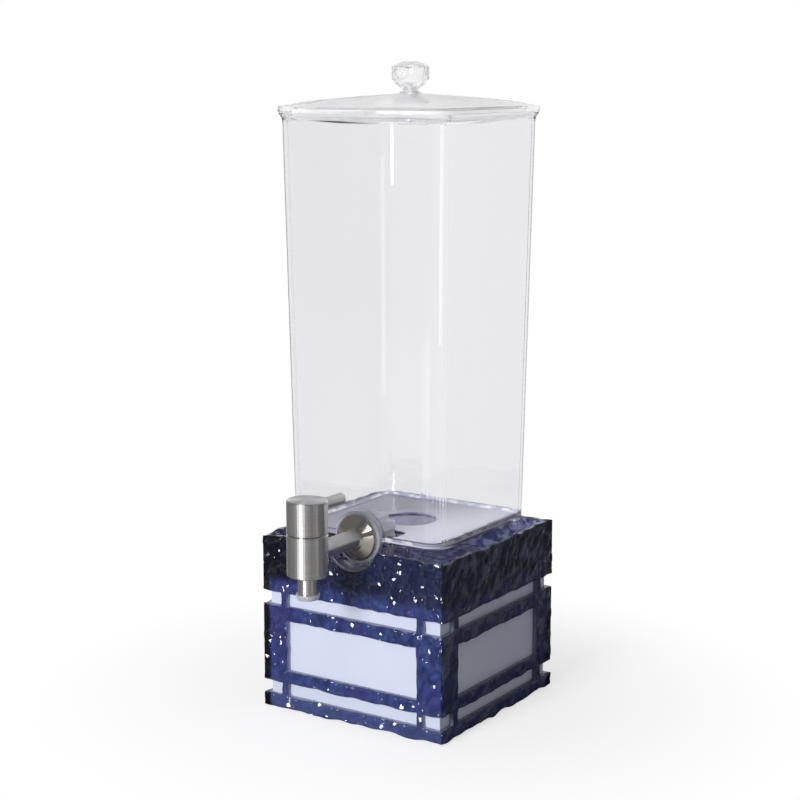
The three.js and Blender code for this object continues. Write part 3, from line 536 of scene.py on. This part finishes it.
class HammeredPlate:
    """One side plate of the base, in the base's frame, built from a grid over its flat outline."""

    def __init__(self, degrees, calm, has_tap_notch):
        end = PLATE_HALF - MITRE_GAP
        self.turn = Matrix.Rotation(math.radians(degrees), 3, "Z")
        self.calm = calm
        self.has_tap_notch = has_tap_notch
        self.us = grid_lines([-end, -NOTCH_EDGE, -WINDOW_HALF, WINDOW_HALF, NOTCH_EDGE, end])
        self.zs = grid_lines([0.0, *SLOTS[0], *WINDOW, *SLOTS[1], PLATE_TOP])
        self.filled = np.zeros((len(self.us) + 1, len(self.zs) + 1), bool)
        self.corners = {}
        self.built = bmesh.new()

    def is_open(self, u, z):
        """Whether the plate has a window, a slot, an open corner or the tap's notch at a place."""
        if WINDOW[0] < z < WINDOW[1]:
            return abs(u) < WINDOW_HALF
        if any(low < z < high for low, high in SLOTS):
            return abs(u) < WINDOW_HALF or abs(u) > NOTCH_EDGE
        return self.has_tap_notch and self.notch_distance(u, z) < 0

    @staticmethod
    def notch_distance(u, z):
        return math.hypot(u, z - TAP_AXIS_Z) - TAP_NOTCH_RADIUS

    def open_side(self, i, j):
        """The direction towards the openings round a grid point, or None away from an edge."""
        around = [(du, dz) for du in (-1, 1) for dz in (-1, 1)]
        empty = [step for step in around if not self.filled[i + (step[0] > 0), j + (step[1] > 0)]]
        if not empty:
            return None
        return Vector((sum(step[0] for step in empty), sum(step[1] for step in empty)))

    def point(self, i, j, layer):
        """A grid point with its hammering, its rounding and its wavy edges."""
        share = layer / LAYERS
        u, z, depth = self.us[i], self.zs[j], PLATE_THICK * share
        at_end = i in (0, len(self.us) - 1)
        spot = self.turn @ Vector((u, depth - PLATE_HALF, z))
        edge = self.open_side(i, j)
        off_notch = abs(self.notch_distance(u, z)) if self.has_tap_notch else PLATE_TOP
        if edge and z < PLATE_TOP - TINY and off_notch < 2 * GRID_STEP:
            rim = Vector((u, z - TAP_AXIS_Z)).normalized() * TAP_NOTCH_RADIUS
            u, z = rim.x, rim.y + TAP_AXIS_Z
        else:
            u, z = self.wavy(spot, u, z, share, clamped(off_notch / NOTCH_CALM))
            if edge and layer == 0 and not at_end:
                edge.normalize()
                u, z = u - edge.x * EDGE_ROUND / 2, z - edge.y * EDGE_ROUND / 2
        reach = PLATE_HALF - MITRE_GAP - NOTCH_EDGE
        if abs(u) > NOTCH_EDGE:
            u = math.copysign(NOTCH_EDGE + (abs(u) - NOTCH_EDGE) * (reach - depth) / reach, u)
        if layer == 0:
            from_end = clamped((PLATE_HALF - MITRE_GAP - abs(u)) / CALM_START)
            u, depth = self.pressed_face(u, hammer(spot) * (1 - self.calm * from_end), bool(edge) and not at_end)
        return self.turn @ Vector((u, depth - PLATE_HALF, z))

    def wavy(self, spot, u, z, share, calm):
        """A place moved by the plate's wavy outline, which only goes inwards at the top and the foot."""
        drift = noise.noise_vector(spot / WARP_SIZE) * WARP_REACH * (1 - share) * calm
        from_end = clamped((PLATE_HALF - MITRE_GAP - abs(u)) / WEAR_FALL)
        from_foot = clamped(z / WEAR_FALL)
        from_top = clamped((PLATE_TOP - z) / WEAR_FALL)
        back = worn_back(spot) * calm
        u += drift.dot(self.turn @ Vector((1, 0, 0))) * from_end
        z += drift.z * from_foot * from_top + back * (1 - from_foot) - back * (1 - from_top)
        return u, z

    @staticmethod
    def pressed_face(u, pressed, has_edge):
        """Where the face goes at a place along the plate: rounded at the corners and pressed in."""
        past = (abs(u) - (PLATE_HALF - MITRE_GAP - CORNER_ROUND)) / CORNER_ROUND
        angle = max(0.0, past) * math.pi / 4
        inward = HAMMER_DEPTH * pressed + (EDGE_ROUND if has_edge else 0)
        if angle == 0:
            return u, inward
        radius = CORNER_ROUND - inward
        corner = PLATE_HALF - MITRE_GAP - CORNER_ROUND
        return math.copysign(corner + radius * math.sin(angle), u), CORNER_ROUND - radius * math.cos(angle)

    def corner(self, i, j, layer):
        key = (i, j, layer)
        if key not in self.corners:
            self.corners[key] = self.built.verts.new(self.point(i, j, layer))
        return self.corners[key]

    def wall(self, a, b, is_cut):
        for layer in range(LAYERS):
            quad = [(*b, layer), (*a, layer), (*a, layer + 1), (*b, layer + 1)]
            face = self.built.faces.new([self.corner(*key) for key in quad])
            face.material_index = int(is_cut)

    def cell(self, i, j):
        """The faces of one filled cell: front, back, and a wall on each open side."""
        loop = [(i, j), (i + 1, j), (i + 1, j + 1), (i, j + 1)]
        self.built.faces.new([self.corner(*c, 0) for c in loop])
        inner = self.built.faces.new([self.corner(*c, LAYERS) for c in reversed(loop)])
        inner.material_index = 2
        sides = ((i + 1, j), (i + 2, j + 1), (i + 1, j + 2), (i, j + 1))
        width, height = self.filled.shape
        for k, side in enumerate(sides):
            if not self.filled[side]:
                is_cut = 0 < side[0] < width - 1 and 0 < side[1] < height - 1
                self.wall(loop[k], loop[(k + 1) % 4], is_cut)

    def mesh(self):
        cells = [(i, j) for i in range(len(self.us) - 1) for j in range(len(self.zs) - 1)]
        for i, j in cells:
            u = (self.us[i] + self.us[i + 1]) / 2
            z = (self.zs[j] + self.zs[j + 1]) / 2
            self.filled[i + 1, j + 1] = not self.is_open(u, z)
        for i, j in cells:
            if self.filled[i + 1, j + 1]:
                self.cell(i, j)
        bmesh.ops.recalc_face_normals(self.built, faces=self.built.faces)
        mesh = bpy.data.meshes.new("hammered_plate")
        self.built.to_mesh(mesh)
        self.built.free()
        return mesh


def hammered_plate(name, node, degrees, looks, calm=0.0, has_tap_notch=False):
    piece = bpy.data.objects.new(name, HammeredPlate(degrees, calm, has_tap_notch).mesh())
    bpy.context.scene.collection.objects.link(piece)
    for look in looks:
        piece.data.materials.append(look)
    piece.data.shade_smooth()
    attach(piece, "base")
    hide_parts(node)


# Studio: a pale floor that runs out to white, a white room behind, and soft lamps
FLOOR_HALF = 30.0
FLOOR_LOW = -0.0002
FLOOR_OWN = (0.42, 0.42, 0.425, 1)
FLOOR_LIFT = 0.66
FADE_START = 0.14
FADE_END = 0.4
# Painted reflections: the floor's colours as glossy rays alone see them, dark in front with lighter patches, which the
# steel mirrors as its highlights and dark sides.
MIRRORED_DARK = (0.10, 0.10, 0.10, 1)
MIRRORED_SIDE = (0.36, 0.36, 0.36, 1)
MIRRORED_LEFT = (0.25, 0.25, 0.25, 1)
MIRRORED_BEYOND = (0.7, 0.7, 0.7, 1)
MIRRORED_LIGHT = (0.78, 0.78, 0.78, 1)
ROOM_DIM = 0.24
ROOM_DIFFUSE = (0.40, 0.27)
BEHIND = (-0.545, 0.823, -0.16)
BACKDROP_EDGE = (0.72, 0.90)


def studio_floor():
    mesh = bpy.data.meshes.new("studio_floor")
    corners = [(-1, -1), (1, -1), (1, 1), (-1, 1)]
    mesh.from_pydata([(x * FLOOR_HALF, y * FLOOR_HALF, FLOOR_LOW) for x, y in corners], [], [(0, 1, 2, 3)])
    floor = bpy.data.objects.new("studio_floor", mesh)
    bpy.context.scene.collection.objects.link(floor)
    mesh.materials.append(floor_material())


def floor_material():
    """Pale near the object, where its shadow lies, and plain white further off."""
    made = bpy.data.materials.new("pale_floor")
    made.use_nodes = True
    tree = made.node_tree
    tree.nodes.clear()
    path = add_node(tree, "ShaderNodeLightPath").outputs
    _, x, y, _ = object_axes(tree)
    squares = maths(tree, "ADD", times(tree, x, x), times(tree, y, y))
    far = ramp(tree, maths(tree, "SQRT", squares), FADE_START, FADE_END)
    across = maths(tree, "ADD", x, times(tree, y, 0.66))
    behind = ramp(tree, maths(tree, "SUBTRACT", y, times(tree, x, 0.66)), 0.2, 0.6)
    behind = times(tree, behind, ramp(tree, maths(tree, "ABSOLUTE", across), 0.3, 0.6, 1.0, 0.0))
    inside = maths(tree, "GREATER_THAN", path["Transmission Depth"], 0.5)
    behind = maths(tree, "MAXIMUM", behind, inside)
    seen = maths(tree, "MAXIMUM", path["Is Camera Ray"], path["Is Transmission Ray"])
    seen = maths(tree, "MAXIMUM", seen, times(tree, path["Is Glossy Ray"], behind))
    dim = times(tree, path["Is Glossy Ray"], maths(tree, "SUBTRACT", 1.0, behind))
    # Painted reflections: patches that only glossy rays see, light in front and far off to the left, grey to the right
    # and front left, and dark in between.
    before = times(tree, ramp(tree, x, -0.14, -0.02), ramp(tree, y, -0.2, -0.3), ramp(tree, x, 0.2, 0.5, 1.0, 0.0))
    beyond = times(tree, ramp(tree, maths(tree, "SQRT", squares), 0.65, 0.95), ramp(tree, x, 0.1, -0.2))
    left = times(tree, ramp(tree, x, 0.0, -0.2), ramp(tree, y, 0.0, -0.2))
    mirrored = mix_colour(tree, ramp(tree, x, 0.1, 0.3), MIRRORED_DARK, MIRRORED_SIDE)
    mirrored = mix_colour(tree, left, mirrored, MIRRORED_LEFT)
    mirrored = mix_colour(tree, beyond, mirrored, MIRRORED_BEYOND)
    mirrored = mix_colour(tree, before, mirrored, MIRRORED_LIGHT)
    own = mix_colour(tree, dim, FLOOR_OWN, mirrored)
    diffuse = add_node(tree, "ShaderNodeBsdfDiffuse", {"Color": own}).outputs[0]
    lift = add_node(tree, "ShaderNodeEmission", {"Strength": times(tree, seen, FLOOR_LIFT)}).outputs[0]
    near = add_node(tree, "ShaderNodeAddShader", {0: diffuse, 1: lift}).outputs[0]
    white = add_node(tree, "ShaderNodeEmission", {"Strength": 1.0}).outputs[0]
    total = add_node(tree, "ShaderNodeMixShader", {0: times(tree, far, seen), 1: near, 2: white}).outputs[0]
    add_node(tree, "ShaderNodeOutputMaterial", {"Surface": total})
    return made


def studio_world():
    """White behind the object, and a dimmer room on the camera's side."""
    world = bpy.data.worlds.new("studio")
    bpy.context.scene.world = world
    world.use_nodes = True
    tree = world.node_tree
    tree.nodes.clear()
    path = add_node(tree, "ShaderNodeLightPath").outputs
    place = add_node(tree, "ShaderNodeTexCoord").outputs["Generated"]
    split = add_node(tree, "ShaderNodeSeparateXYZ", {0: place}).outputs
    towards = lambda way: add_node(tree, "ShaderNodeVectorMath", {0: place, 1: way}, operation="DOT_PRODUCT").outputs["Value"]
    backdrop = ramp(tree, towards(BEHIND), *BACKDROP_EDGE)
    room = add_node(tree, "ShaderNodeMix", {0: backdrop, 2: ROOM_DIM, 3: 1.0}).outputs[0]
    diffuse = ramp(tree, split[0], -0.7, 0.7, *ROOM_DIFFUSE)
    shiny = maths(tree, "MAXIMUM", path["Is Glossy Ray"], path["Is Transmission Ray"])
    strength = add_node(tree, "ShaderNodeMix", {0: shiny, 2: diffuse, 3: room}).outputs[0]
    inside = maths(tree, "GREATER_THAN", path["Transmission Depth"], 0.5)
    inside = times(tree, inside, path["Is Glossy Ray"])
    clear = maths(tree, "MAXIMUM", path["Is Camera Ray"], path["Is Transmission Ray"])
    clear = maths(tree, "MAXIMUM", clear, inside)
    strength = add_node(tree, "ShaderNodeMix", {0: clear, 2: strength, 3: 1.0}).outputs[0]
    inputs = {"Color": (1, 1, 1, 1), "Strength": strength}
    background = add_node(tree, "ShaderNodeBackground", inputs).outputs[0]
    add_node(tree, "ShaderNodeOutputWorld", {"Surface": background})


AIM = (0, 0, 0.25)


def soft_light(name, place, width, height, watts):
    data = bpy.data.lights.new(name, "AREA")
    data.shape = "RECTANGLE"
    data.size, data.size_y, data.energy = width, height, watts
    lamp = bpy.data.objects.new(name, data)
    lamp.location = place
    lamp.rotation_euler = (Vector(AIM) - Vector(place)).to_track_quat("-Z", "Y").to_euler()
    bpy.context.scene.collection.objects.link(lamp)


def camera():
    data = bpy.data.cameras.new("camera")
    data.sensor_width, data.lens = 36.0, 80.98
    data.clip_start, data.clip_end = 0.05, 200.0
    made = bpy.data.objects.new("camera", data)
    made.location = (0.9023, -1.3746, 0.5864)
    made.rotation_euler = (math.radians(90 - 10.337), 0, math.radians(33.607))
    bpy.context.scene.collection.objects.link(made)
    bpy.context.scene.camera = made


def dress_base():
    front = hammered_acrylic("hammered_blue_front", "X", (-0.089, 0.0965), (-0.085, -0.035), facing=FRONT_FACETS)
    # Painted shade: the right plate's acrylic and cut walls are darkened copies of the others, and its lighter strokes
    # are painted reflections.
    right = hammered_acrylic("hammered_blue_right_painted_shade", "Y", (-0.11, 0.086), (-0.12, -0.1), 0.55, 0.9)
    back = hammered_acrylic("hammered_blue_back", "X", (-0.091, 0.091), (-0.12, -0.1))
    left = hammered_acrylic("hammered_blue_left", "Y", (-0.091, 0.091), (-0.12, -0.1))
    cut, painted_shade_cut, ledge = cut_acrylic("cut_blue_acrylic"), cut_acrylic("cut_blue_acrylic_right_painted_shade", 0.5), ledge_acrylic()
    hammered_plate("ice_plate_front", "side_plate_front", 0, (front, cut, ledge), FRONT_CALM, has_tap_notch=True)
    hammered_plate("ice_plate_right", "side_plate_right", 90, (right, painted_shade_cut, ledge))
    hammered_plate("ice_plate_back", "side_plate_back", 180, (back, cut, ledge))
    hammered_plate("ice_plate_left", "side_plate_left", 270, (left, cut, ledge))
    dress(ledge, "base_deck")
    opal = opal_acrylic()
    dress(opal, "opal_panel_front", "opal_panel_right", "opal_panel_back", "opal_panel_left", "base_floor")


def dress_tank():
    dress(tank_plastic(), "tank")
    lid = clear_plastic("clear_lid", (0.945, 0.945, 0.95, 1), 0.85, 0.2, 1.12)
    dress(clear_lip(lid, LID_BOTTOM), "lid")
    crystal = clear_plastic("crystal", (0.86, 0.86, 0.87, 1), 0.85, 0.0, 1.38)
    dress(cut_facets(crystal), "lid_knob", "knob_insert")


def dress_tap():
    upright = turned_steel("turned_steel_upright", "Z")
    dress(upright, "tap_body", "handle_cap", "outlet_tube")
    bright = solid_colour("bright_steel", (0.86, 0.86, 0.88, 1), (0.93, 0.93, 0.95, 1), 0.25, 1.0)
    dress(bright, "knob_screw", "knob_washer")
    dress(turned_steel("turned_steel_level", "Y", FLANGE), "tap_shank")
    dress(turned_steel("turned_steel_lever", "Y"), "lever_pin")
    silicone = translucent("clear_silicone", (0.78, 0.79, 0.88, 1), 0.5, 0.3)
    dress(silicone, "outer_gasket", "inner_gasket")
    nylon = translucent("clear_nylon", (0.74, 0.76, 0.84, 1), 0.45, 0.25)
    dress(nylon, "lock_nut", "nozzle_tip")
    brass = solid_colour("turned_brass", (0.55, 0.40, 0.16, 1), (0.70, 0.54, 0.26, 1), 0.2, 1.0)
    dress(brass, "valve_plug", "gland_nut")
    dress(solid_colour("white_ptfe", (0.80, 0.80, 0.77, 1), (0.88, 0.88, 0.86, 1), 0.4), "valve_sleeve")
    nitrile = solid_colour("black_nitrile", (0.008, 0.008, 0.009, 1), (0.016, 0.016, 0.017, 1), 0.5)
    dress(nitrile, "outlet_o_ring", "spindle_o_ring")


def studio():
    studio_floor()
    studio_world()
    soft_light("key", (0.0, -1.95, 0.75), 0.5, 0.65, 33)
    soft_light("side_strip", (1.9, -0.33, 0.25), 0.45, 0.5, 1.1)
    camera()
    bpy.context.scene.view_settings.view_transform = "Standard"


dress_base()
dress_tank()
dress_tap()
studio()
